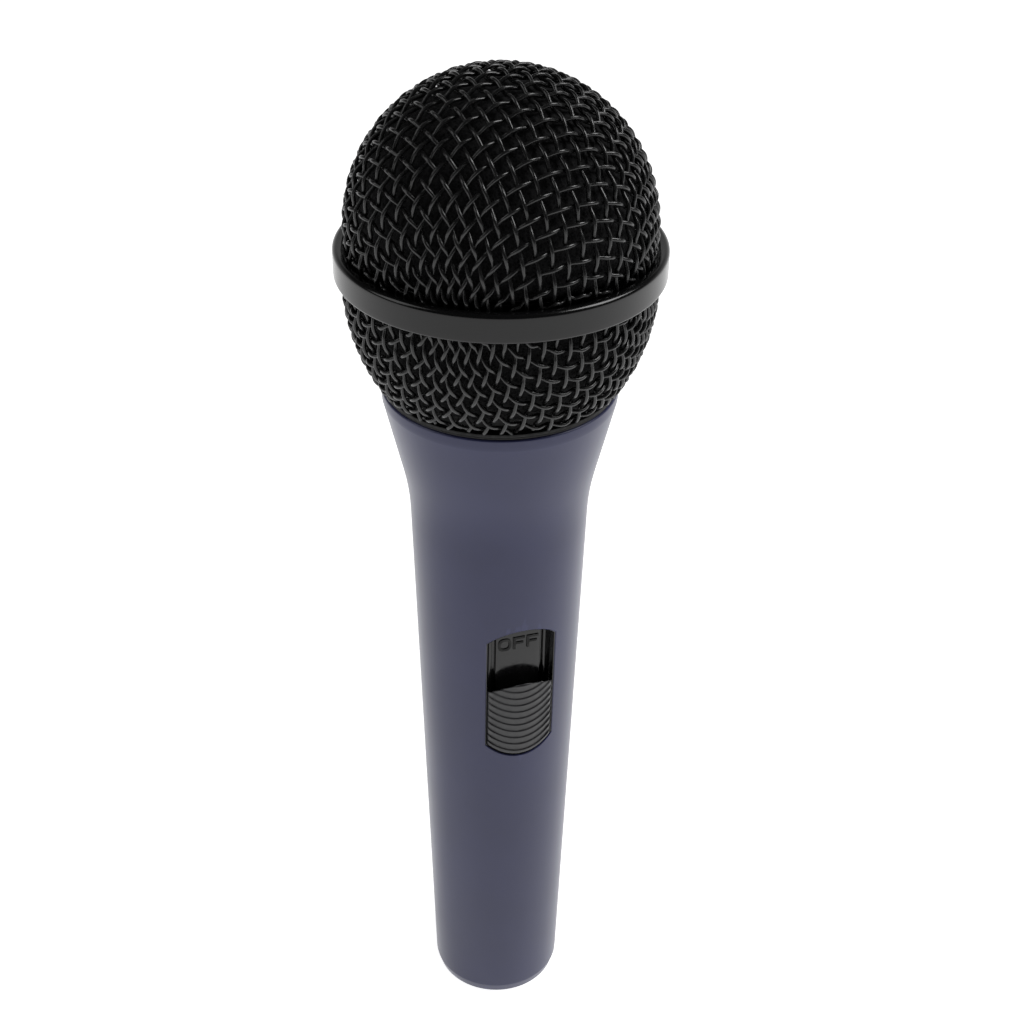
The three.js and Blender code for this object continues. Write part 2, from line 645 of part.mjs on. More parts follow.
// ---- Wiring ----
function makeWires() {
  const red = () => finish(0x9c2020, 0.5);
  const black = () => finish(0x151515, 0.5);
  const bare = () => finish(0xb9b3a6, 0.4, 1);
  add("capsule_lead_red", wire(LEAD.radius, LEAD.fromCapsule), red());
  add("capsule_lead_black", wire(LEAD.radius, mirrored(LEAD.fromCapsule)), black());
  add("output_lead_hot", wire(LEAD.radius, LEAD.toSidePin), red());
  add("output_lead_cold", wire(LEAD.radius, LEAD.toMiddlePin), black());
  add("ground_lead", wire(LEAD.radius, mirrored(LEAD.toSidePin)), bare());
}

makeHandle();
makeSocket();
makeTray();
makeSlider();
makeBoard();
makeCapsule();
makeMount();
makeGrille();
makeWires();

export default model;
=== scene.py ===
# The looks of a handheld dynamic vocal microphone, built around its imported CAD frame.
# Shapes are worked out in millimetres and stored in metres; only the lights are given in metres.
# Places come from the CAD nodes.
import json
import math
import random

import bmesh
import bpy
import numpy as np
from mathutils import Matrix, Vector

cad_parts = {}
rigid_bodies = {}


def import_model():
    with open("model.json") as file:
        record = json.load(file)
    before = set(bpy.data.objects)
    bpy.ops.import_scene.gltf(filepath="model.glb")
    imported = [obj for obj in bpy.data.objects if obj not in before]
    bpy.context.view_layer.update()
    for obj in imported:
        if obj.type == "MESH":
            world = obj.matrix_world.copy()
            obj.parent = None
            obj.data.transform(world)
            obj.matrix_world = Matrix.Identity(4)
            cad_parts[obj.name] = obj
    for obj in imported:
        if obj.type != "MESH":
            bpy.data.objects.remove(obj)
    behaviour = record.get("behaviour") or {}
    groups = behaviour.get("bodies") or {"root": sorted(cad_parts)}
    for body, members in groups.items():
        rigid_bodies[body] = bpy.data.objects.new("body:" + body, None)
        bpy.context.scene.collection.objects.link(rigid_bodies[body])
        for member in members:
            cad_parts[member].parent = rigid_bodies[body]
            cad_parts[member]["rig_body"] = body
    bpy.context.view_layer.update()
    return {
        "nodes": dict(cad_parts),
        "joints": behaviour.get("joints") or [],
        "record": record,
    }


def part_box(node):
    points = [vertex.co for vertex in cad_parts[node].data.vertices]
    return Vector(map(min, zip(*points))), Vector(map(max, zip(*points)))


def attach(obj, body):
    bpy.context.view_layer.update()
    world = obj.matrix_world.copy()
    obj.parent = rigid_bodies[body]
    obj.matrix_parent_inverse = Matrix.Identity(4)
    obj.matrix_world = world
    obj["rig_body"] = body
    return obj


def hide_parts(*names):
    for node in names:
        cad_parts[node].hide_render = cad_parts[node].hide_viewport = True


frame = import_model()
MM = 0.001
random.seed(7)

# ---- Camera, as fitted to the microphone's outline ----
VIEW_AZIMUTH = -17.7  # degrees; 0 looks along +Y
VIEW_PITCH = 32.82  # degrees below the horizontal
VIEW_ROLL = 0.42
VIEW_DISTANCE = 244.9  # from the axis, level
VIEW_HEIGHT = 261.68
VIEW_LENS = 60.95
VIEW_SHIFT = 0.0127

# ---- Studio ----
FLOOR_HALF = 3000
FLOOR_GLOW = 0.9
SURROUND_SEEN = 0.96  # how pale the camera sees it
SURROUND_SINK = -1.3  # how low its glow behind the object sits
SURROUND_FACING = (0.0, 0.8)
SURROUND_LIGHT = (0.05, 1.1)
LIGHT_TARGET = (0, 0, 0.13)
LIGHTS = {  # place, width and height, power
    "softbox_right": ((0.5, -0.15, 0.75), (0.4, 0.4), 4),
    "softbox_left": ((-0.6, 0.1, 0.6), (0.35, 0.5), 1),
}

# ---- Grille weave ----
WIRE_R = 0.31
WIRE_PITCH = 2.6
WIRE_STEPS = 7  # samples between crossings
WIRE_SIDES = 8
NET_COUNT = 20  # wires to each side of a family's middle one
NET_LENGTHEN = 0.067  # how far pressing stretches the net halfway between its families
NET_SHEAR = 0.09
NET_DRIFT = 0.03  # how far a wire wanders, as a share of the pitch
RIM_SAG = 0.45
RIM_SAG_SPAN = 4.0
RIM_TUCK = -0.05
RIM_TUCK_SPAN = 1.8
BASKET_R = 24.7  # the lower mesh's full ellipse, as in its CAD shell
BASKET_HALF = 28.7
BASKET_Z = 147.5
WEAVE_TURN = 12.0  # degrees from the switch side towards +X

# ---- Band, foam, collar thread and rubber mount ----
BAND_EDGE_R = 0.45  # its rolled lower edge
BAND_SHOULDER_R = 0.7
BAND_SKIN = 0.65  # how much of the CAD section's outside the rolled face replaces
FOAM_STEP = 0.5
FOAM_LUMP = 1.3
FOAM_SWELL = 0.45
THREAD_PITCH = 1.25
THREAD_DEPTH = 0.45
THREAD_RUNOUT = 0.6
MOUNT_SPLIT = 12.4  # the radius where the mount flexes
MOUNT_GAP = 0.05

# ---- Handle and turned pieces ----
HANDLE_EASE = 0.35
TAIL_CRISP = 3.0  # corners lower than this stay crisp
EDGE_EASE = 0.12
INNER_SIDES = 96
FINE_EDGES = (0.1, 0.05, 0.02, 0)  # widths to try, widest first
SCREW_HOLE_R = 1.15
SCREW_HOLE_Y = (7, 14)
LATCH = ((-2.5, 2.5), (7.1, 9.0), (4, 7))
BARREL_REACH = 25  # above and below the slot's middle
BARREL_SKIN = 1.2

# ---- Thumb switch, in the slot's own frame: x across, y depth, z up along the handle ----
SLOT_Z = 75.25
SLOT_HALF = 6.05
SLOT_CORNER = 11.15
SLOT_END_R = 8.4
SLOT_EASE = 0.16
PANEL_HALF = 3.95
PANEL_DEPTH = 3.0
GROOVE_DEPTH = 3.8
FLANGE_DEPTH = 4.8
FLANGE_HALF = (6.8, 16)
TRAY_DEPTH = 6.0
BOSS_R = 1.3
BOSS_Z = 13.4
BOSS_END = 7.9
RAIL_X = (4.55, 5.15)
RAIL_HALF = 11.9
RAIL_HIGH = 0.45
SINK = 0.1  # how far panel and rails reach into the tray below
SLIDER_HALF = 5.75
SLIDER_TOP = 0.8
SLIDER_BOW = 1.55
SLIDER_PROUD = 0.3
SLIDER_UNDER = 2.75
SLIDER_UNDERCUT = 2.5  # its upper end slopes inwards
SIDE_ROUND = (0.32, 0.6)  # depth and span of its rounded sides and lower end
TIP_ROUND = (0.1, 0.12)
LEG_X = (5.3, 5.7)
LEG_Z = (-10.4, 0.4)
LEG_GAP = 0.25  # above the groove's floor
LEG_SINK = 0.05
RIB_PITCH = 1.45
RIB_BOW = 2.3
RIB_DEPTH = 0.17
RIB_LEDGE = 0.16  # share of the pitch
LEGEND_Z = 9.1
LETTER_HIGH = 0.2  # clear of the slider, which passes over it
LETTER_SINK = 0.05
LETTERS = {  # width over height, then straight strokes on a unit square
    "F": (0.8, [((0, 0), (0, 1)), ((0, 1), (1, 1)), ((0, 0.5), (0.85, 0.5))]),
    "N": (0.86, [((0, 0), (0, 1)), ((1, 0), (1, 1))]),
    "O": (0.92, []),
}


# ---- Node materials ----
def new_material(name, color, roughness, metallic=0.0, **sockets):
    material = bpy.data.materials.new(name)
    material.use_nodes = True
    shader = material.node_tree.nodes["Principled BSDF"]
    shader.inputs["Base Color"].default_value = (*color, 1)
    shader.inputs["Roughness"].default_value = roughness
    shader.inputs["Metallic"].default_value = metallic
    for socket, value in sockets.items():
        shader.inputs[socket.replace("_", " ")].default_value = value
    return material, shader


class Nodes:
    """Short calls that add and link nodes in one material."""

    def __init__(self, material, shader):
        self.tree = material.node_tree
        self.shader = shader
        self.place = self.tree.nodes.new("ShaderNodeTexCoord").outputs["Object"]

    def add(self, kind, **values):
        node = self.tree.nodes.new(kind)
        for key, value in values.items():
            if hasattr(node, key):
                setattr(node, key, value)
            else:
                node.inputs[key.replace("_", " ")].default_value = value
        return node

    def link(self, source, target):
        self.tree.links.new(source, target)

    def noise(self, scale, detail=3.0, stretch=None):
        node = self.add("ShaderNodeTexNoise", Scale=scale, Detail=detail)
        place = self.place
        if stretch:
            mapping = self.add("ShaderNodeMapping")
            mapping.inputs["Scale"].default_value = stretch
            self.link(place, mapping.inputs["Vector"])
            place = mapping.outputs["Vector"]
        self.link(place, node.inputs["Vector"])
        return node.outputs["Fac"]

    def cells(self, scale):
        node = self.add("ShaderNodeTexVoronoi", Scale=scale)
        self.link(self.place, node.inputs["Vector"])
        return node.outputs["Distance"]

    def spread(self, source, low, high, at=(0.3, 0.7)):
        node = self.add(
            "ShaderNodeMapRange", interpolation_type="SMOOTHSTEP",
            From_Min=at[0], From_Max=at[1], To_Min=low, To_Max=high,
        )
        self.link(source, node.inputs["Value"])
        return node.outputs["Result"]

    def mix(self, factor, first, second):
        """Two colours mixed by a factor. Each is three numbers or another node's output."""
        node = self.add("ShaderNodeMix", data_type="RGBA")
        self.link(factor, node.inputs[0])
        for socket, color in ((node.inputs[6], first), (node.inputs[7], second)):
            if isinstance(color, tuple):
                socket.default_value = (*color, 1)
            else:
                self.link(color, socket)
        return node.outputs[2]

    def blend_colors(self, factor, first, second):
        self.link(self.mix(factor, first, second), self.shader.inputs["Base Color"])

    def roughness(self, source):
        self.link(source, self.shader.inputs["Roughness"])

    def bump(self, *layers):
        normal = None
        for source, distance, strength in layers:
            node = self.add("ShaderNodeBump", Distance=distance, Strength=strength)
            self.link(source, node.inputs["Height"])
            if normal:
                self.link(normal, node.inputs["Normal"])
            normal = node.outputs["Normal"]
        self.link(normal, self.shader.inputs["Normal"])


def scaled(color, factor):
    return tuple(channel * factor for channel in color)


def worn(nodes, color, edge, amount=0.35):
    """Colour that drifts slightly over the surface and lightens on worn edges."""
    drift = nodes.spread(nodes.noise(60, 4), 0.0, 1.0)
    point = nodes.add("ShaderNodeNewGeometry").outputs["Pointiness"]
    rub = nodes.spread(point, 0.0, amount, (0.52, 0.6))
    base = nodes.mix(drift, scaled(color, 0.93), scaled(color, 1.07))
    nodes.blend_colors(rub, base, edge)


def painted_metal(name, color, rough, peel=0.03, index=1.5):
    """Sprayed satin paint: a fine orange peel, a slight drift in gloss, rubbed edges."""
    material, shader = new_material(name, color, rough, IOR=index)
    nodes = Nodes(material, shader)
    worn(nodes, color, scaled(color, 1.8))
    nodes.roughness(nodes.spread(nodes.noise(45, 2), rough - 0.015, rough + 0.015))
    nodes.bump((nodes.noise(420, 1), peel * MM, 0.2))
    return material


def coated_wire(name):
    """Black electrophoretic coat on round steel wire."""
    color = (0.0055, 0.0055, 0.0058)
    material, shader = new_material(name, color, 0.24, IOR=1.5)
    nodes = Nodes(material, shader)
    worn(nodes, color, (0.03, 0.03, 0.03), 0.2)
    nodes.roughness(nodes.spread(nodes.noise(1500, 3), 0.18, 0.3))
    nodes.bump((nodes.noise(5000, 3), 0.012 * MM, 0.5))
    return material


def moulded_plastic(name, color, rough=0.42, grain=0.012):
    """Injection-moulded plastic with a fine spark-eroded grain."""
    material, shader = new_material(name, color, rough, IOR=1.48)
    nodes = Nodes(material, shader)
    worn(nodes, color, scaled(color, 1.7), 0.25)
    nodes.roughness(nodes.spread(nodes.noise(1200, 3), rough - 0.06, rough + 0.08))
    nodes.bump((nodes.noise(6000, 3), grain * MM, 0.5))
    return material


def open_foam(name):
    """Open-cell foam: pores between thin struts, with painted shade darkening the pores."""
    material, shader = new_material(name, (0.006, 0.006, 0.0065), 0.95, Specular_IOR_Level=0.15)
    nodes = Nodes(material, shader)
    pores = nodes.cells(1900)
    unshaded_struts = nodes.spread(pores, 0, 1, (0.1, 0.6))
    # Painted shade: the colour darkens towards each pore's middle, where the bump sinks, and is lighter on
    # the struts.
    nodes.blend_colors(unshaded_struts, (0.004, 0.004, 0.0043), (0.011, 0.011, 0.0115))
    nodes.bump((pores, 0.25 * MM, 0.8), (nodes.noise(4000, 2), 0.05 * MM, 0.6))
    return material


def felt_cloth(name, color):
    material, shader = new_material(name, color, 0.95, Sheen_Weight=0.3)
    nodes = Nodes(material, shader)
    fibres = nodes.noise(2600, 6, (1.0, 0.35, 1.0))
    nodes.blend_colors(nodes.spread(fibres, 0, 1), scaled(color, 0.6), scaled(color, 1.3))
    nodes.bump((fibres, 0.08 * MM, 0.8))
    return material


def soft_rubber(name, color):
    material, shader = new_material(name, color, 0.72, IOR=1.5)
    nodes = Nodes(material, shader)
    bloom = nodes.noise(220, 4)
    nodes.blend_colors(nodes.spread(bloom, 0, 1), scaled(color, 0.8), scaled(color, 1.5))
    nodes.roughness(nodes.spread(bloom, 0.62, 0.85))
    nodes.bump((nodes.noise(3000, 3), 0.02 * MM, 0.5))
    return material


def turned_metal(name, color, rough):
    """Machined metal: fine lathe lines round the axis, with a little tarnish."""
    material, shader = new_material(name, color, rough, 1.0)
    nodes = Nodes(material, shader)
    lines = nodes.noise(300, 2, (1.0, 1.0, 40.0))
    tarnish = nodes.noise(180, 4)
    nodes.blend_colors(nodes.spread(tarnish, 0, 1), scaled(color, 0.85), color)
    nodes.roughness(nodes.spread(lines, rough - 0.08, rough + 0.12))
    nodes.bump((lines, 0.004 * MM, 0.4))
    return material


def wound_copper(name):
    """Enamelled copper wire, wound in level turns, with painted shade in the grooves between them."""
    material, shader = new_material(name, (0.55, 0.22, 0.08), 0.28, 1.0)
    nodes = Nodes(material, shader)
    wave = nodes.add("ShaderNodeTexWave", Scale=4000.0, bands_direction="Z")
    nodes.link(nodes.place, wave.inputs["Vector"])
    # Painted shade: the colour follows the winding bump, darker in the grooves between turns and lighter on
    # their crests.
    nodes.blend_colors(wave.outputs["Fac"], (0.32, 0.1, 0.035), (0.62, 0.27, 0.1))
    nodes.bump((wave.outputs["Fac"], 0.03 * MM, 0.7))
    return material


def clear_film(name):
    material, shader = new_material(name, (0.75, 0.7, 0.55), 0.12, Transmission_Weight=0.35, IOR=1.45)
    nodes = Nodes(material, shader)
    nodes.bump((nodes.noise(500, 2, (1.0, 1.0, 6.0)), 0.02 * MM, 0.4))
    return material


def glass_tube(name):
    material, shader = new_material(name, (0.55, 0.75, 0.6), 0.05, Transmission_Weight=0.8, IOR=1.5)
    nodes = Nodes(material, shader)
    nodes.bump((nodes.noise(300, 2), 0.01 * MM, 0.3))
    return material


def circuit_laminate(name, color):
    """Glass-fibre board under solder resist: the weave just shows."""
    material, shader = new_material(name, color, 0.35)
    nodes = Nodes(material, shader)
    weave = nodes.add("ShaderNodeTexBrick", Scale=900.0)
    nodes.link(nodes.place, weave.inputs["Vector"])
    nodes.blend_colors(nodes.spread(nodes.noise(300, 4), 0, 1), scaled(color, 0.75), scaled(color, 1.2))
    nodes.bump((weave.outputs["Fac"], 0.01 * MM, 0.4))
    return material


HANDLE_COLOR = (0.028, 0.031, 0.084)
LOOKS = {
    "handle_paint": painted_metal("handle_paint", HANDLE_COLOR, 0.3, 0.006, 1.44),
    "band_black": painted_metal("band_black", (0.003, 0.003, 0.0032), 0.17, 0.004, 1.42),
    "grille_steel": coated_wire("grille_steel"),
    "black_plastic": moulded_plastic("black_plastic", (0.008, 0.008, 0.009)),
    "collar_black": moulded_plastic("collar_black", (0.003, 0.003, 0.003), 0.7),
    "gloss_plastic": moulded_plastic("gloss_plastic", (0.0058, 0.0058, 0.0062), 0.15, 0.004),
    "slider_plastic": moulded_plastic("slider_plastic", (0.012, 0.0118, 0.0135), 0.36),
    "foam": open_foam("foam"),
    "felt": felt_cloth("felt", (0.12, 0.12, 0.12)),
    "rubber": soft_rubber("rubber", (0.014, 0.014, 0.015)),
    "steel": turned_metal("steel", (0.56, 0.57, 0.58), 0.3),
    "nickel": turned_metal("nickel", (0.72, 0.71, 0.68), 0.2),
    "brass": turned_metal("brass", (0.62, 0.45, 0.18), 0.3),
    "aluminium": turned_metal("aluminium", (0.66, 0.67, 0.69), 0.36),
    "copper_wire": wound_copper("copper_wire"),
    "film": clear_film("film"),
    "glass_tube": glass_tube("glass_tube"),
    "board": circuit_laminate("board", (0.02, 0.12, 0.055)),
    "fibre_board": circuit_laminate("fibre_board", (0.16, 0.085, 0.035)),
    "capacitor_can": moulded_plastic("capacitor_can", (0.018, 0.02, 0.03), 0.25),
    "wire_red": moulded_plastic("wire_red", (0.35, 0.02, 0.02), 0.4),
    "wire_black": moulded_plastic("wire_black", (0.015, 0.015, 0.015), 0.4),
    "wire_bare": turned_metal("wire_bare", (0.6, 0.58, 0.53), 0.35),
}


# ---- Mesh helpers ----
def mesh_object(name, verts, faces, look, smooth_angle=35.0):
    """A new object from points in millimetres."""
    mesh = bpy.data.meshes.new(name)
    points = np.asarray(verts, float) * MM
    mesh.from_pydata(points.tolist(), [], [tuple(face) for face in faces])
    mesh.validate()
    obj = bpy.data.objects.new(name, mesh)
    bpy.context.scene.collection.objects.link(obj)
    obj.data.materials.append(LOOKS[look])
    shade(obj, smooth_angle)
    return obj


def shade(obj, angle=35.0):
    obj.data.shade_smooth()
    obj.data.set_sharp_from_angle(angle=math.radians(angle))


def stand_for(obj, body, slot, *nodes):
    """The piece rides on a body in place of any CAD nodes it stands for; the slot argument is not used."""
    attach(obj, body)
    if nodes:
        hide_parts(*nodes)
    return obj


def lathe_data(section, sides):
    """Points and faces of a closed [radius, height] section turned about the Z axis."""
    on_axis = [radius < 1e-6 for radius, _ in section]
    closed = not (on_axis[0] and on_axis[-1])
    angles = [2 * math.pi * i / sides - math.pi / 2 for i in range(sides)]
    verts, rows = [], []
    for (radius, height), centre in zip(section, on_axis):
        start = len(verts)
        if centre:
            verts.append((0, 0, height))
            rows.append([start] * sides)
        else:
            verts.extend((radius * math.cos(a), radius * math.sin(a), height) for a in angles)
            rows.append(list(range(start, start + sides)))
    faces = []
    pairs = list(zip(rows, rows[1:])) + ([(rows[-1], rows[0])] if closed else [])
    for low, high in pairs:
        for i in range(sides):
            j = (i + 1) % sides
            face = list(dict.fromkeys((low[i], low[j], high[j], high[i])))
            if len(face) > 2:
                faces.append(face)
    return verts, faces


def outward(section):
    points = section + section[:1]
    area = sum(a[0] * b[1] - b[0] * a[1] for a, b in zip(points, points[1:]))
    return section if area > 0 else section[::-1]


def eased(section, radius, steps=4, shallow=28.0, crisp_below=None):
    """The section with sharp corners eased by the radius and shallow ones run into one curve.

    Corners lower than crisp_below stay crisp.
    """
    on_axis = section[0][0] < 1e-6 and section[-1][0] < 1e-6
    points = [Vector(point) for point in section]
    result = []
    count = len(points)
    for i, corner in enumerate(points):
        if on_axis and i in (0, count - 1):
            result.append(tuple(corner))
            continue
        before, after = points[i - 1] - corner, points[(i + 1) % count] - corner
        room = 0.48 * min(before.length, after.length)
        turn = 180 - math.degrees(before.angle(after, math.pi))
        reach = room if turn < shallow else min(radius, room)
        if crisp_below is not None and corner.y < crisp_below:
            reach = min(EDGE_EASE, room)
        start = corner + before.normalized() * reach
        end = corner + after.normalized() * reach
        for step in range(steps + 1):
            t = step / steps
            result.append(tuple(start * (1 - t) ** 2 + corner * 2 * t * (1 - t) + end * t ** 2))
    return result


SAME = 0.01  # points closer than this are one


def meridian_chains(mesh, places, direction):
    """The mesh's edges along one meridian, as chains of [radius, height] points."""
    keys = [tuple(np.round(p, 3)) for p in places]
    along = np.array([direction[0], direction[1], 0.0])
    across = np.array([-direction[1], direction[0], 0.0])

    def on_meridian(key):
        return abs(np.dot(key, across)) < 0.003 and np.dot(key, along) > -0.003

    links = {}
    for edge in mesh.edges:
        a, b = keys[edge.vertices[0]], keys[edge.vertices[1]]
        if a != b and on_meridian(a) and on_meridian(b):
            links.setdefault(a, set()).add(b)
            links.setdefault(b, set()).add(a)
    chains, used = [], set()
    ends = [key for key, near in links.items() if len(near) == 1] or list(links)[:1]
    for end in ends:
        if end in used:
            continue
        chain = [end]
        used.add(end)
        while True:
            onward = [key for key in links[chain[-1]] if key not in used]
            if not onward:
                break
            chain.append(onward[0])
            used.add(onward[0])
        chains.append([(float(np.dot(key, along)), float(key[2])) for key in chain])
    return chains


def next_chain(chains, tail):
    """The nearest chain with an end on the tail's level, and whether it has to be turned round."""
    options = [
        (abs(chain[-flip][0] - tail[0]), index, flip)
        for index, chain in enumerate(chains) for flip in (False, True)
        if abs(chain[-flip][1] - tail[1]) <= SAME
    ]
    return min(options)[1:] if options else None


def section_of(node, direction=(0, -1)):
    """A turned CAD node's section: [radius, height] points in millimetres along one meridian."""
    mesh = frame["nodes"][node].data
    places = np.array([v.co for v in mesh.vertices], float) / MM
    chains = meridian_chains(mesh, places, direction)
    section = chains.pop(0)
    while chains:
        found = next_chain(chains, section[-1])
        if not found:
            section = section[::-1]
            found = next_chain(chains, section[-1])
        if not found:
            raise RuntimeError(f"the section of {node} doesn't close")
        index, flip = found
        chain = chains.pop(index)
        section += chain[::-1] if flip else chain
    first, last = section[0], section[-1]
    on_axis = np.hypot(places[:, 0], places[:, 1]).min() < SAME or not any(r > SAME for r, _ in section)
    if abs(first[1] - last[1]) > SAME and on_axis:
        section = [(0.0, first[1])] * (first[0] > SAME) + section + [(0.0, last[1])] * (last[0] > SAME)
    return outward([(0.0 if r < SAME else r, z) for r, z in section])


def turned(name, section, look, sides, smooth_angle=35.0):
    verts, faces = lathe_data(section, sides)
    return mesh_object(name, verts, faces, look, smooth_angle)


def prism(outline, y0, y1):
    """Closed prism of an XZ outline between two depths, as points and faces."""
    count = len(outline)
    verts = [(x, y0, z) for x, z in outline] + [(x, y1, z) for x, z in outline]
    faces = [[i, (i + 1) % count, (i + 1) % count + count, i + count] for i in range(count)]
    faces.append(list(range(count))[::-1])
    faces.append(list(range(count, 2 * count)))
    return verts, faces


def box_data(x, y, z):
    return prism([(x[0], z[0]), (x[1], z[0]), (x[1], z[1]), (x[0], z[1])], y[0], y[1])


def mirrored_boxes(x, y, z):
    """The same box on both sides of the middle."""
    return [box_data(sorted((side * x[0], side * x[1])), y, z) for side in (1, -1)]


def merged(*parts):
    verts, faces = [], []
    for part_verts, part_faces in parts:
        start = len(verts)
        verts.extend(part_verts)
        faces.extend([index + start for index in face] for face in part_faces)
    return verts, faces


def rod_data(radius, start, end, sides=32, round_to=0.0):
    """A round rod between two points, with its rims eased by round_to."""
    start, end = Vector(start), Vector(end)
    length = (end - start).length
    ease = min(round_to, radius * 0.9, length * 0.45)
    section = [(0, 0), (radius, 0), (radius, length), (0, length)]
    if ease:
        corners = [(radius - ease, 0), (radius, ease), (radius, length - ease), (radius - ease, length)]
        rounded = eased([(0, 0), *corners, (0, length)], ease, 3, 0)
        section = [(0, 0)] + rounded[1:-1] + [(0, length)]
    verts, faces = lathe_data(section, sides)
    turn = (end - start).to_track_quat("Z", "Y")
    return [tuple(turn @ Vector(v) + start) for v in verts], faces


def fix_normals(obj):
    mesh = bmesh.new()
    mesh.from_mesh(obj.data)
    bmesh.ops.remove_doubles(mesh, verts=mesh.verts, dist=1e-7)
    bmesh.ops.recalc_face_normals(mesh, faces=mesh.faces)
    mesh.to_mesh(obj.data)
    mesh.free()


def carve(obj, *tools, smooth_angle=35.0):
    """Cuts the tools out of the piece and removes them."""
    fix_normals(obj)
    for tool in tools:
        fix_normals(tool)
        modifier = obj.modifiers.new("cut", "BOOLEAN")
        modifier.operation = "DIFFERENCE"
        modifier.solver = "EXACT"
        modifier.object = tool
        bpy.context.view_layer.update()
        graph = bpy.context.evaluated_depsgraph_get()
        result = bpy.data.meshes.new_from_object(obj.evaluated_get(graph))
        obj.modifiers.clear()
        old = obj.data
        obj.data = result
        bpy.data.meshes.remove(old)
        bpy.data.objects.remove(tool)
    shade(obj, smooth_angle)
    return obj


# ---- Handle ----
HANDLE_SECTION = section_of("handle_body", (1, 0))


def outer_radius(z):
    """The handle's outside radius at a height in its straight taper."""
    best = 0.0
    points = HANDLE_SECTION + HANDLE_SECTION[:1]
    for (r0, z0), (r1, z1) in zip(points, points[1:]):
        if min(z0, z1) <= z <= max(z0, z1) and abs(z1 - z0) > 1e-6:
            best = max(best, r0 + (r1 - r0) * (z - z0) / (z1 - z0))
    return best


SLOT_AXIS = Vector(next(j for j in frame["joints"] if j["name"] == "switch_slide")["axis"])
TAPER = -SLOT_AXIS.y / SLOT_AXIS.z
SURFACE_R = outer_radius(SLOT_Z)
SLOT_END_Z = SLOT_CORNER - math.sqrt(SLOT_END_R ** 2 - SLOT_HALF ** 2)  # centre of its end arcs
TO_SWITCH = Matrix.Translation((0, -SURFACE_R, SLOT_Z)) @ Matrix.Rotation(math.atan(TAPER), 4, "X")


def placed(data):
    """Points from the switch's frame to the object's."""
    verts, faces = data
    return [tuple(TO_SWITCH @ Vector(v)) for v in verts], faces


def slot_outline(clearance, half=None, steps=24):
    """The slot's outline drawn in by the clearance, or only the part within half either side."""
    radius = SLOT_END_R - clearance
    spread = math.asin((half or SLOT_HALF - clearance) / radius)
    outline = []
    for side in (1, -1):
        for i in range(steps + 1):
            angle = side * math.pi / 2 - spread + 2 * spread * i / steps
            outline.append((radius * math.cos(angle), side * SLOT_END_Z + radius * math.sin(angle)))
    return outline


def surface_depth(x):
    """How far the handle's round surface falls away beside the slot's middle."""
    return SURFACE_R - math.sqrt(SURFACE_R ** 2 - x ** 2)


def slot_cutter():
    """The slot's solid: straight walls with a small eased edge that follows the curved surface."""
    ease = SLOT_EASE
    rings = [(0.0, None, 6.5), (0.0, ease, None), (-0.4 * ease, 0.45 * ease, None), (-ease, 0.0, None)]
    rings += [(-ease - 0.5, -0.5, None), (-ease - 0.5, None, -2.0)]
    verts, faces = [], []
    count = len(slot_outline(0))
    for clearance, below, depth in rings:
        for x, z in slot_outline(clearance):
            verts.append((x, depth if below is None else surface_depth(x) + below, z))
    for ring in range(len(rings) - 1):
        for i in range(count):
            j = (i + 1) % count
            faces.append([ring * count + i, ring * count + j, (ring + 1) * count + j, (ring + 1) * count + i])
    last = (len(rings) - 1) * count
    faces.append(list(range(count)))
    faces.append(list(range(last, last + count)))
    return placed((verts, faces))


def split_run(a, b, pieces):
    """Points that split a straight run into equal pieces, without its end."""
    return [(a[0] + (b[0] - a[0]) * k / pieces, a[1] + (b[1] - a[1]) * k / pieces) for k in range(pieces)]


def stepped(section, longest):
    """The closed section with its long straight runs split up."""
    result = []
    for a, b in zip(section, section[1:] + section[:1]):
        result.extend(split_run(a, b, max(1, math.ceil(math.dist(a, b) / longest))))
    return result


def make_handle():
    section = stepped(eased(HANDLE_SECTION, HANDLE_EASE, 5, crisp_below=TAIL_CRISP), 2.0)
    handle = turned("handle_shell", section, "handle_paint", 192, 30)
    low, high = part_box("insert_screw")
    screw_z = (low.z + high.z) / 2 / MM
    hole = rod_data(SCREW_HOLE_R, *[(0, y, screw_z) for y in SCREW_HOLE_Y], 40)
    cutters = [mesh_object("tool", *data, "steel") for data in (slot_cutter(), hole, box_data(*LATCH))]
    carve(handle, *cutters, smooth_angle=28)
    smooth_barrel(handle.data)
    stand_for(handle, "handle", "handle_paint", "handle_body")


def smooth_barrel(mesh):
    """The taper's own normals on the faces round the slot, so the cut leaves no marks in the gloss."""
    normals = [(0.0, 0.0, 0.0)] * len(mesh.loops)
    slope = math.atan(TAPER)
    for face in mesh.polygons:
        centre = face.center / MM
        beside_slot = SLOT_Z - BARREL_REACH < centre.z < SLOT_Z + BARREL_REACH
        if not beside_slot or math.hypot(centre.x, centre.y) <= SURFACE_R - BARREL_SKIN:
            continue
        out = Vector((centre.x, centre.y, 0)).normalized()
        if face.normal.x * out.x + face.normal.y * out.y < 0.97:
            continue
        for index in face.loop_indices:
            place = mesh.vertices[mesh.loops[index].vertex_index].co
            out = Vector((place.x, place.y, 0)).normalized() * math.cos(slope)
            normals[index] = (out.x, out.y, -math.sin(slope))
    mesh.normals_split_custom_set(normals)


# ---- Thumb switch ----
def wall_faces(count):
    """Quads between four stacked rings, as an inner and an outer wall with a top and a floor."""
    faces = []
    for i in range(count):
        j = (i + 1) % count
        for a, b in ((0, 1), (1, 3), (3, 2), (2, 0)):
            faces.append([a * count + i, a * count + j, b * count + j, b * count + i])
    return faces


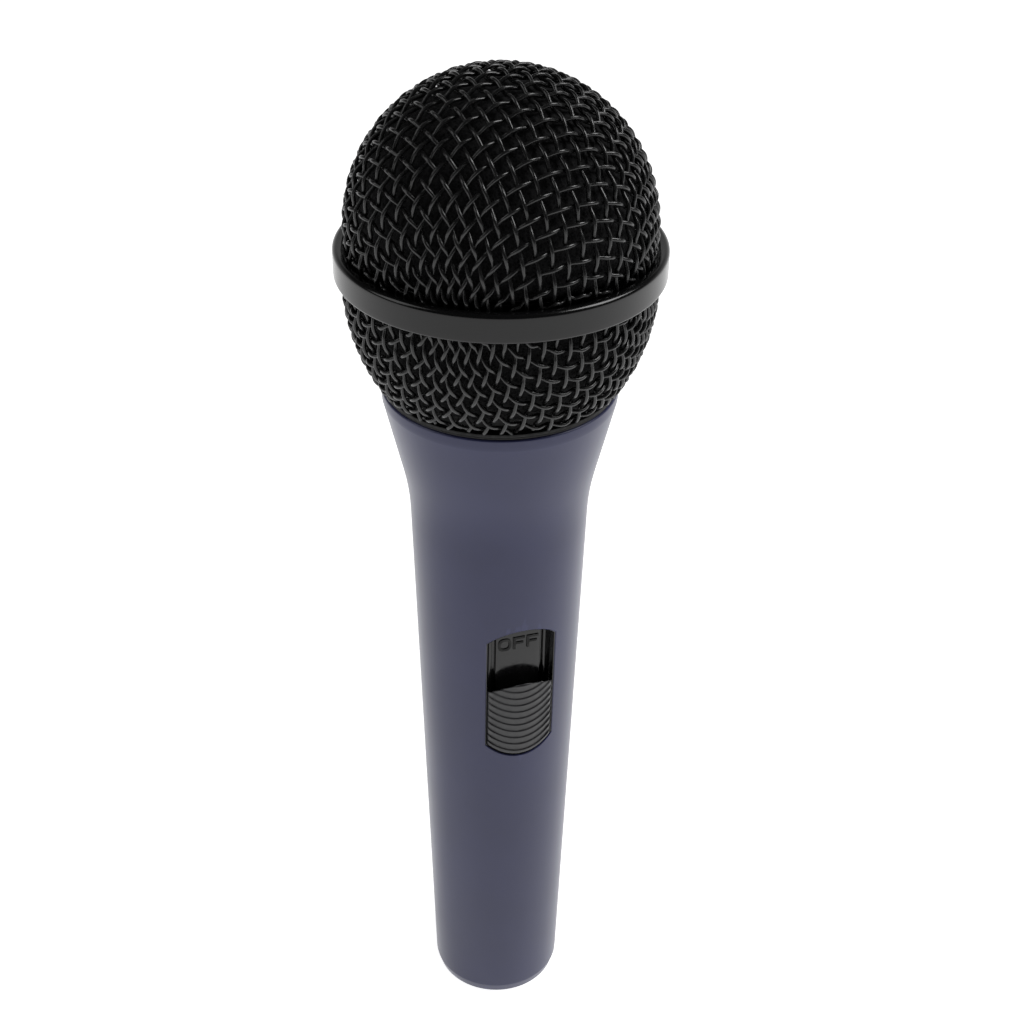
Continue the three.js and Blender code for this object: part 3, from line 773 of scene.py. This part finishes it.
def ring_letter(x, z, height, width, weight):
    """The round letter, as a raised, slightly squared ring."""
    steps = 40
    verts = []
    cx, cz = x + width / 2, z + height / 2
    for grow in (weight / 2, -weight / 2):
        for y in (PANEL_DEPTH - LETTER_HIGH, PANEL_DEPTH + LETTER_SINK):
            for i in range(steps):
                angle = 2 * math.pi * i / steps
                cos, sin = math.cos(angle), math.sin(angle)
                px = math.copysign(abs(cos) ** 0.7, cos) * (width / 2 + grow)
                pz = math.copysign(abs(sin) ** 0.7, sin) * (height / 2 + grow)
                verts.append((cx + px, y, cz + pz))
    return verts, wall_faces(steps)


def legend_data(word, centre_z, height=2.05, weight=0.44, space=0.78):
    """OFF or ON in raised strokes on the panel, each a hair smaller than the one before."""
    widths = [LETTERS[letter][0] * height for letter in word]
    x = -(sum(widths) + space * (len(word) - 1)) / 2
    z = centre_z - height / 2
    parts = []
    for letter, width in zip(word, widths):
        for index, ((x0, z0), (x1, z1)) in enumerate(LETTERS[letter][1]):
            half = weight / 2 - 0.01 * index
            top = PANEL_DEPTH - LETTER_HIGH + 0.004 * index
            across = sorted((x + x0 * width, x + x1 * width))
            along = sorted((z + z0 * height, z + z1 * height))
            depth = (top, PANEL_DEPTH + LETTER_SINK + 0.004 * index)
            sides, ends = ((ends[0] - half, ends[1] + half) for ends in (across, along))
            parts.append(box_data(sides, depth, ends))
        if letter == "O":
            parts.append(ring_letter(x, z, height, width, weight))
        if letter == "N":
            slope = weight * 0.62
            high, low, right = z + height, z, x + width
            outline = [(x - slope, high), (x + slope, high), (right + slope, low), (right - slope, low)]
            parts.append(prism(outline, PANEL_DEPTH - LETTER_HIGH, PANEL_DEPTH + LETTER_SINK))
        x += width + space
    return parts


def shade_lining_data():
    """A thin black wall round the slot that ends just under the handle's curved surface. It stands for the
    tray's rim, and its black also paints the shade that falls on the slot's cut walls.
    """
    outer, inner = slot_outline(0.03), slot_outline(0.15)
    verts = []
    for outline, top in ((outer, 0.22), (inner, 0.3)):
        verts.extend((x, surface_depth(x) + top, z) for x, z in outline)
        verts.extend((x, GROOVE_DEPTH + 0.4, z) for x, z in outline)
    return verts, wall_faces(len(outer))


def bevel_sharp(mesh, width, segments=2):
    """Bevels a bmesh's sharp edges by a width in millimetres."""
    edges = [e for e in mesh.edges if len(e.link_faces) == 2 and e.calc_face_angle(0) > math.radians(40)]
    bmesh.ops.bevel(
        mesh, geom=edges, affect="EDGES", offset=width * MM, segments=segments, profile=0.5,
        clamp_overlap=True,
    )


def bevelled(name, data, look, width, segments=2):
    obj = mesh_object(name, *data, look)
    fix_normals(obj)
    mesh = bmesh.new()
    mesh.from_mesh(obj.data)
    bevel_sharp(mesh, width, segments)
    mesh.to_mesh(obj.data)
    mesh.free()
    shade(obj)
    return obj


def join_objects(first, *others):
    """Moves the others' meshes into the first."""
    mesh = bmesh.new()
    mesh.from_mesh(first.data)
    for other in others:
        mesh.from_mesh(other.data)
        bpy.data.objects.remove(other)
    mesh.to_mesh(first.data)
    mesh.free()
    shade(first)


def make_tray():
    plug = prism(slot_outline(0.1), GROOVE_DEPTH, FLANGE_DEPTH + 0.5)
    wide, tall = FLANGE_HALF
    flange = box_data((-wide, wide), (FLANGE_DEPTH, TRAY_DEPTH), (-tall, tall))
    bosses = [
        rod_data(BOSS_R, (0, TRAY_DEPTH - 0.4, z), (0, BOSS_END, z), 32, 0.15) for z in (BOSS_Z, -BOSS_Z)
    ]
    tray = bevelled("switch_recess", placed(merged(plug, flange, *bosses)), "gloss_plastic", 0.1)
    strip = prism(slot_outline(0.16, PANEL_HALF, 16), PANEL_DEPTH, GROOVE_DEPTH + SINK)
    panel = bevelled("panel", placed(strip), "gloss_plastic", 0.12)
    # The black lining covers the handle's cut slot walls: partly the tray's rim, partly painted shade.
    lining = mesh_object("lining", *placed(shade_lining_data()), "gloss_plastic")
    fix_normals(lining)
    rails = mirrored_boxes(RAIL_X, (GROOVE_DEPTH - RAIL_HIGH, GROOVE_DEPTH + SINK), (-RAIL_HALF, RAIL_HALF))
    rails = bevelled("rails", placed(merged(*rails)), "gloss_plastic", 0.14, 3)
    legend = merged(*legend_data("OFF", LEGEND_Z), *legend_data("ON", -LEGEND_Z))
    letters = mesh_object("legend", *placed(legend), "gloss_plastic")
    fix_normals(letters)
    strokes = len(letters.data.polygons)
    join_objects(tray, panel, lining, rails, letters)
    tray.data.materials.append(LOOKS["collar_black"])
    for face in list(tray.data.polygons)[-strokes:]:
        face.material_index = 1
    stand_for(tray, "handle", "black_plastic", "switch_tray")


def rib_groove(x, z):
    """Depth of the thumb ribs below the slider's surface: a narrow ledge, then a long lean out."""
    bend = (x / SLIDER_HALF) ** 2
    phase = ((z + RIB_BOW * (1 - bend)) / RIB_PITCH) % 1
    depth = phase / RIB_LEDGE if phase < RIB_LEDGE else (1 - phase) / (1 - RIB_LEDGE)
    return RIB_DEPTH * depth * (1 + 0.6 * bend ** 2)


def make_slider():
    across, along = 64, 190
    radius = SLOT_END_R - 0.3
    (side_fall, side_span), (tip_fall, tip_span) = SIDE_ROUND, TIP_ROUND
    top, bottom = [], []
    for i in range(across + 1):
        x = SLIDER_HALF * (2 * i / across - 1)
        low = -SLOT_END_Z - math.sqrt(radius ** 2 - x ** 2)
        high = SLIDER_TOP + SLIDER_BOW * (1 - (x / SLIDER_HALF) ** 2)
        for j in range(along + 1):
            z = low + (high - low) * j / along
            edge = min(SLIDER_HALF - abs(x), z - low)
            fall = side_fall * max(0.0, 1 - edge / side_span) ** 2
            fall += tip_fall * max(0.0, 1 - (high - z) / tip_span) ** 2
            outer = SURFACE_R + SLIDER_PROUD - rib_groove(x, z) - fall
            top.append((x, SURFACE_R - math.sqrt(outer ** 2 - x ** 2), z))
            bottom.append((x, SLIDER_UNDER, min(z, high - SLIDER_UNDERCUT)))
    row = along + 1
    size = len(top)
    faces = []
    for i in range(across):
        for j in range(along):
            a = i * row + j
            faces.append([a, a + row, a + row + 1, a + 1])
    rim = [i * row for i in range(across + 1)] + [across * row + j for j in range(1, row)]
    rim += [i * row + along for i in range(across - 1, -1, -1)] + list(range(along - 1, 0, -1))
    faces.extend([a, b, b + size, a + size] for a, b in zip(rim, rim[1:] + rim[:1]))
    faces.append([index + size for index in rim])
    used = sorted(set(rim))
    order = {size + index: size + place for place, index in enumerate(used)}
    verts = top + [bottom[index] for index in used]
    faces = [[order.get(index, index) for index in face] for face in faces]
    legs = mirrored_boxes(LEG_X, (SLIDER_UNDER - LEG_SINK, GROOVE_DEPTH - LEG_GAP), LEG_Z)
    slider = mesh_object("thumb_slider", *placed(merged((verts, faces), *legs)), "slider_plastic", 40)
    fix_normals(slider)
    shade(slider, 40)
    stand_for(slider, "thumb_switch", "black_plastic", "switch_slider")


# ---- Woven grille ----
class Dome:
    """An ellipsoid of revolution, measured along its meridian from one pole."""

    def __init__(self, radius, half_height, centre_z, pole):
        lean = np.linspace(0, 1.95, 600)
        self.out = radius * np.sin(lean)
        self.up = centre_z + pole * half_height * np.cos(lean)
        steps = np.hypot(np.diff(self.out), np.diff(self.up))
        self.length = np.concatenate([[0], np.cumsum(steps)])
        self.quarter = np.interp(math.pi / 2, lean, self.length)
        self.normal_out = np.sin(lean) / radius
        self.normal_up = pole * np.cos(lean) / half_height
        size = np.hypot(self.normal_out, self.normal_up)
        self.normal_out, self.normal_up = self.normal_out / size, self.normal_up / size

    def place(self, u, v, turn, sag, rim):
        """Places and normals of the woven net's points, counted in wires along its two families.

        Pressing a flat net into a dome shears it most halfway between the two families, and the rows
        next to the rim sag between their crossings.
        """
        flat = WIRE_PITCH * np.hypot(u, v)
        angle = np.arctan2(v, u)
        reach = (flat / self.quarter) ** 2
        length = flat * (1 + NET_LENGTHEN * reach * np.sin(2 * angle) ** 2)
        rim_length = self.length[np.argmin(np.abs(self.up - rim) + 1e3 * (self.normal_out < 0.5))]
        length = length + RIM_SAG * sag * np.clip(1 - (rim_length - length) / RIM_SAG_SPAN, 0, 1.5)
        angle = angle + NET_SHEAR * reach * np.sin(4 * angle) + turn
        profile = (self.out, self.up, self.normal_out, self.normal_up)
        out, up, normal_out, normal_up = (np.interp(length, self.length, side) for side in profile)
        places = np.stack([out * np.cos(angle), out * np.sin(angle), up], 1)
        normals = np.stack([normal_out * np.cos(angle), normal_out * np.sin(angle), normal_up], 1)
        return places, normals, length


def wire_paths(dome, family, turn, low, high, rim):
    """Centre lines and surface normals of one family's wires, cut to a range of heights."""
    wires = range(-NET_COUNT, NET_COUNT + 1)
    drift = [(random.uniform(-1, 1), random.uniform(0, 6.28), random.uniform(0.25, 0.6)) for _ in wires]
    t = np.arange(-NET_COUNT * WIRE_STEPS, NET_COUNT * WIRE_STEPS + 1) / WIRE_STEPS
    paths = []
    for fixed, (size, phase, rate) in zip(wires, drift):
        line = fixed + NET_DRIFT * (0.5 * size + np.sin(phase + rate * t))
        u, v = (line, t) if family == 0 else (t, line)
        places, normals, length = dome.place(u, v, turn, np.sin(math.pi * t) ** 2, rim)
        lift = np.cos(math.pi * t) * (1 if (fixed + family) % 2 == 0 else -1)
        tuck = np.clip((RIM_TUCK_SPAN - np.abs(places[:, 2] - rim)) / RIM_TUCK_SPAN, 0, 1) ** 2 * RIM_TUCK
        places = places + normals * (WIRE_R * np.sign(lift) * np.abs(lift) ** 0.85 - tuck)[:, None]
        inside = (places[:, 2] >= low) & (places[:, 2] <= high) & (length < dome.length[-1])
        piece = []
        for place, normal, keep in zip(places, normals, inside):
            if keep:
                piece.append((place, normal))
            elif piece:
                paths.append(piece)
                piece = []
        paths.append(piece)
    return [path for path in paths if len(path) > 3]


def tubes(paths, radius, sides=WIRE_SIDES):
    """Round wires along the paths, closed at their ends."""
    verts, faces = [], []
    angles = np.arange(sides) * 2 * math.pi / sides
    for path in paths:
        places = np.array([place for place, _ in path])
        normals = np.array([normal for _, normal in path])
        ahead = np.gradient(places, axis=0)
        ahead /= np.linalg.norm(ahead, axis=1)[:, None]
        across = np.cross(ahead, normals)
        across /= np.linalg.norm(across, axis=1)[:, None]
        up = np.cross(across, ahead)
        start = len(verts)
        for place, one, other in zip(places, across, up):
            ring = place + radius * (np.outer(np.cos(angles), one) + np.outer(np.sin(angles), other))
            verts.extend(ring.tolist())
        for k in range(len(path) - 1):
            a = start + k * sides
            for s in range(sides):
                t = (s + 1) % sides
                faces.append((a + s, a + s + sides, a + t + sides, a + t))
        last = start + (len(path) - 1) * sides
        faces.append(tuple(range(start, start + sides)))
        faces.append(tuple(range(last + sides - 1, last - 1, -1)))
    return verts, faces


def make_mesh_half(node, dome, turn, low, high, rim):
    for family, thread in ((0, "warp"), (1, "weft")):
        verts, faces = tubes(wire_paths(dome, family, turn, low, high, rim), WIRE_R)
        wires = mesh_object(f"{node}_{thread}", verts, faces, "grille_steel", 60)
        stand_for(wires, "grille", "grille_steel", node)


def hoop_section():
    """The plain hoop, its lower edge and upper shoulder rolled round inside its CAD solid's section."""
    section = section_of("grille_band")
    outer = max(r for r, _ in section)
    low, high = min(z for _, z in section), max(z for _, z in section)
    inside = [(r, z) for r, z in section if r < outer - BAND_SKIN]
    first = min(range(len(inside)), key=lambda i: (inside[i][1] < high - 0.2, -inside[i][0]))
    inside = inside[first:] + inside[:first]
    edge, shoulder = BAND_EDGE_R, BAND_SHOULDER_R
    roll, fold = np.linspace(0, math.pi / 2, 9), np.linspace(0, math.pi / 2, 12)
    face = [(outer - edge + edge * math.sin(a), low + edge - edge * math.cos(a)) for a in roll]
    face += [(outer, low + (high - low) * k / 8) for k in range(2, 7)]
    side, top = outer - shoulder, high - shoulder
    face += [(side + shoulder * math.cos(a), top + shoulder * math.sin(a)) for a in fold]
    return face + inside


def make_grille():
    turn = math.radians(WEAVE_TURN)
    low, high = (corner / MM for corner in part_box("grille_band"))
    band_low, band_high = low.z, high.z
    low, high = (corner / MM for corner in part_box("upper_mesh"))
    radius = high.x - 2 * WIRE_R
    ball = Dome(radius, radius, high.z - high.x, 1)
    make_mesh_half("upper_mesh", ball, turn, low.z + WIRE_R, high.z, band_high)
    low, high = (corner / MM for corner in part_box("lower_mesh"))
    basket = Dome(BASKET_R - 2 * WIRE_R, BASKET_HALF - 2 * WIRE_R, BASKET_Z, -1)
    make_mesh_half("lower_mesh", basket, turn, low.z + WIRE_R, high.z, band_low)
    band = turned("grille_hoop", hoop_section(), "band_black", 256, 40)
    stand_for(band, "grille", "band_black", "grille_band")


def foam_shell(node):
    """A foam liner with an uneven skin, from the CAD shell's section."""
    section = eased(section_of(node), 0.6, 3)
    dense = []
    for a, b in zip(section, section[1:]):
        dense.extend(split_run(a, b, max(1, round(math.dist(a, b) / FOAM_STEP))))
    dense.append(section[-1])
    verts, faces = lathe_data(dense, 144)
    foam = mesh_object(f"{node}_liner", verts, faces, "foam", 80)
    fix_normals(foam)
    lumps = bpy.data.textures.new(f"{node}_lumps", "CLOUDS")
    lumps.noise_scale = FOAM_LUMP * MM
    lumps.noise_depth = 2
    swell = foam.modifiers.new("lumps", "DISPLACE")
    swell.texture = lumps
    swell.strength = FOAM_SWELL * MM
    swell.mid_level = 0.75
    swell.texture_coords = "LOCAL"
    bake(foam)
    stand_for(foam, "grille", "foam", node)


def bake(obj):
    """Applies the object's modifiers to its mesh."""
    graph = bpy.context.evaluated_depsgraph_get()
    result = bpy.data.meshes.new_from_object(obj.evaluated_get(graph))
    obj.modifiers.clear()
    obj.data = result
    shade(obj, 80)


# ---- Pieces turned from their CAD sections ----
SLOT_OF = {part["node"]: part["material_slot"] for part in frame["record"]["subparts"]}


def body_of_node(node):
    return frame["nodes"][node]["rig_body"]


def inner_piece(name, section, look):
    piece = turned(name, eased(section, EDGE_EASE, 3), look, INNER_SIDES)
    fix_normals(piece)
    shade(piece)
    return piece


def make_turned(node, name, look):
    stand_for(inner_piece(name, section_of(node), look), body_of_node(node), SLOT_OF[node], node)


def make_collar():
    """The grille's collar, with the right-hand thread that screws into the handle."""
    section = section_of("grille_collar")
    crest = max(r for r, z in section if z < min(h for _, h in section) + 0.5)
    heights = [z for r, z in section if abs(r - crest) < 0.05]
    low, high = min(heights), max(heights)
    collar = turned("collar_turned", stepped(eased(section, EDGE_EASE, 2), 0.15), "collar_black", 192, 80)
    for vertex in collar.data.vertices:
        x, y, z = vertex.co / MM
        if abs(math.hypot(x, y) - crest) > 0.02 or not low < z < high:
            continue
        angle = math.atan2(y, x)
        phase = (z / THREAD_PITCH - angle / (2 * math.pi)) % 1
        runout = min(1.0, (z - low) / THREAD_RUNOUT, (high - z) / THREAD_RUNOUT)
        radius = crest - THREAD_DEPTH * (1 - abs(2 * phase - 1)) * runout
        vertex.co = Vector((radius * math.cos(angle), radius * math.sin(angle), z)) * MM
    fix_normals(collar)
    shade(collar, 50)
    stand_for(collar, "grille", "band_black", "grille_collar")


def make_mount():
    """The rubber mount, split where it flexes.

    Its rim is clamped in the handle, and its sleeve moves with the capsule.
    """
    section = section_of("shock_mount")
    start = next(
        i for i, (r, _) in enumerate(section) if r < MOUNT_SPLIT and section[i - 1][0] > MOUNT_SPLIT
    )
    section = section[start:] + section[:start]
    near = [point for point in section if point[0] < MOUNT_SPLIT]
    far = [point for point in section if point[0] > MOUNT_SPLIT]
    first, last = far[0][1], far[-1][1]
    sleeve = near + [(MOUNT_SPLIT, first), (MOUNT_SPLIT, last)]
    ring = far + [(MOUNT_SPLIT + MOUNT_GAP, last), (MOUNT_SPLIT + MOUNT_GAP, first)]
    stand_for(inner_piece("rubber_mount", sleeve, "rubber"), "capsule", "rubber", "shock_mount")
    stand_for(inner_piece("rubber_rim", ring, "rubber"), "handle", "rubber")


def broken_edges(node, width):
    """The CAD solid with every sharp edge broken by the width."""
    mesh = bmesh.new()
    mesh.from_mesh(frame["nodes"][node].data)
    bmesh.ops.remove_doubles(mesh, verts=mesh.verts, dist=1e-6)
    bmesh.ops.dissolve_limit(mesh, angle_limit=math.radians(0.5), verts=mesh.verts, edges=mesh.edges)
    if width:
        bevel_sharp(mesh, width)
    bmesh.ops.triangulate(mesh, faces=[face for face in mesh.faces if len(face.verts) > 4])
    bmesh.ops.recalc_face_normals(mesh, faces=mesh.faces)
    return mesh


def make_fine(node):
    """A moulded or machined piece, with the widest broken edges that leave it one clean solid."""
    for width in FINE_EDGES:
        mesh = broken_edges(node, width)
        if all(len(edge.link_faces) == 2 for edge in mesh.edges):
            break
        if width:
            mesh.free()
    data = bpy.data.meshes.new(f"{node}_finished")
    mesh.to_mesh(data)
    mesh.free()
    piece = bpy.data.objects.new(f"{node}_finished", data)
    bpy.context.scene.collection.objects.link(piece)
    data.materials.append(LOOKS[SLOT_OF[node]])
    shade(piece)
    stand_for(piece, body_of_node(node), SLOT_OF[node], node)


# ---- Floor, light and camera ----
def make_stage():
    """A pale floor that glows faintly, two soft lights and a surround.

    The surround is near-white to the camera, and a gradient to everything that it lights.
    """
    corners = [(x * FLOOR_HALF, y * FLOOR_HALF, 0) for x, y in ((-1, -1), (1, -1), (1, 1), (-1, 1))]
    floor = mesh_object("floor", corners, [(0, 1, 2, 3)], "steel")
    material, shader = new_material("floor_white", (0.8, 0.8, 0.8), 0.9, Specular_IOR_Level=0.0)
    shader.inputs["Emission Color"].default_value = (1, 1, 1, 1)
    shader.inputs["Emission Strength"].default_value = FLOOR_GLOW
    floor.data.materials.clear()
    floor.data.materials.append(material)
    world = bpy.data.worlds.new("studio")
    world.use_nodes = True
    tree = world.node_tree
    seen, lit = (tree.nodes["Background"], tree.nodes.new("ShaderNodeBackground"))
    seen.inputs["Color"].default_value = (*[SURROUND_SEEN] * 3, 1)
    facing = tree.nodes.new("ShaderNodeVectorMath")
    facing.operation = "DOT_PRODUCT"
    azimuth = math.radians(VIEW_AZIMUTH)
    facing.inputs[1].default_value = (-math.sin(azimuth), math.cos(azimuth), SURROUND_SINK)
    ramp = tree.nodes.new("ShaderNodeMapRange")
    ramp.inputs["From Min"].default_value, ramp.inputs["From Max"].default_value = SURROUND_FACING
    ramp.inputs["To Min"].default_value, ramp.inputs["To Max"].default_value = SURROUND_LIGHT
    tree.links.new(tree.nodes.new("ShaderNodeTexCoord").outputs["Generated"], facing.inputs[0])
    tree.links.new(facing.outputs["Value"], ramp.inputs["Value"])
    tree.links.new(ramp.outputs["Result"], lit.inputs["Strength"])
    choose = tree.nodes.new("ShaderNodeMixShader")
    tree.links.new(tree.nodes.new("ShaderNodeLightPath").outputs["Is Camera Ray"], choose.inputs[0])
    tree.links.new(lit.outputs[0], choose.inputs[1])
    tree.links.new(seen.outputs[0], choose.inputs[2])
    tree.links.new(choose.outputs[0], tree.nodes["World Output"].inputs["Surface"])
    bpy.context.scene.world = world
    for name, (place, size, power) in LIGHTS.items():
        area_light(name, place, size, power)


def area_light(name, place, size, power):
    light = bpy.data.lights.new(name, "AREA")
    light.shape = "RECTANGLE"
    light.size, light.size_y = size
    light.energy = power
    obj = bpy.data.objects.new(name, light)
    bpy.context.scene.collection.objects.link(obj)
    obj.location = place
    obj.rotation_euler = (Vector(LIGHT_TARGET) - Vector(place)).to_track_quat("-Z", "Y").to_euler()


def make_camera():
    camera = bpy.data.cameras.new("camera")
    camera.lens = VIEW_LENS
    camera.sensor_width = 36
    camera.shift_x = VIEW_SHIFT
    camera.clip_start = 0.01
    camera.clip_end = 20
    azimuth = math.radians(VIEW_AZIMUTH)
    obj = bpy.data.objects.new("camera", camera)
    obj.location = (
        VIEW_DISTANCE * math.sin(azimuth) * MM, -VIEW_DISTANCE * math.cos(azimuth) * MM, VIEW_HEIGHT * MM
    )
    turn = Matrix.Rotation(azimuth, 4, "Z") @ Matrix.Rotation(math.radians(90 - VIEW_PITCH), 4, "X")
    turn = turn @ Matrix.Rotation(math.radians(VIEW_ROLL), 4, "Z")
    obj.rotation_euler = turn.to_euler()
    bpy.context.scene.collection.objects.link(obj)
    bpy.context.scene.camera = obj


make_stage()
make_camera()
make_handle()
make_tray()
make_slider()
make_grille()
foam_shell("upper_foam")
foam_shell("lower_foam")
TURNED = {
    "collar_gasket": ("rim_seal", "rubber"),
    "clamp_ring": ("inner_hoop", "band_black"),
    "mount_ring": ("retaining_ring", "aluminium"),
    "front_plate": ("motor_front_plate", "steel"),
    "pole_piece": ("motor_pole", "steel"),
    "magnet": ("motor_magnet", "nickel"),
    "voice_coil": ("wound_coil", "copper_wire"),
    "diaphragm": ("domed_film", "film"),
    "diaphragm_ring": ("film_ring", "aluminium"),
    "rear_chamber": ("air_chamber", "black_plastic"),
    "terminal_board": ("terminal_disc", "fibre_board"),
    "rear_felt": ("felt_disc", "felt"),
    "cap_cloth": ("cloth_disc", "felt"),
}
for node, (name, look) in TURNED.items():
    make_turned(node, name, look)
make_collar()
make_mount()

for node in [node for node, obj in frame["nodes"].items() if not obj.hide_render]:
    make_fine(node)

bpy.context.scene.view_settings.view_transform = "Standard"
